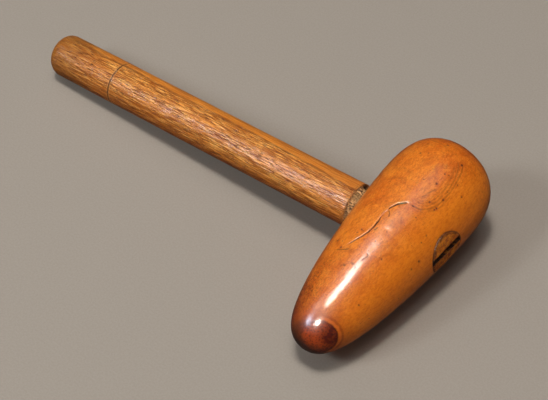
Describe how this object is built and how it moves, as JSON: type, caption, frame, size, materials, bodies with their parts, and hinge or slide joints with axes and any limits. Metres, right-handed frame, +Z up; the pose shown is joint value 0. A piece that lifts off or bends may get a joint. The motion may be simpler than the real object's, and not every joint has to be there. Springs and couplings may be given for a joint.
{
  "type": "lead dressing mallet",
  "caption": "Turned wooden mallet for dressing sheet lead: pear-shaped head with a through eye, straight round handle with a shoulder and a wedged tenon.",
  "frame": {"origin": "on the surface that the mallet lies on, under the middle of its bounding box", "axes": "+Z up, the handle runs to -X and slopes down to its butt, the nose of the head points to -Y and is turned a little down; Z = 0 is the surface that the head's belly and the butt's lower edge touch"},
  "size_m": [0.2928, 0.1518, 0.0621],
  "materials": {
    "head_wood": "oiled and worn to a gloss",
    "handle_wood": "worn smooth, satin",
    "wedge_wood": "dark, dull end grain"
  },
  "bodies": {
    "root": {"head": "head_wood", "handle": "handle_wood", "wedge": "wedge_wood"}
  },
  "joints": []
}
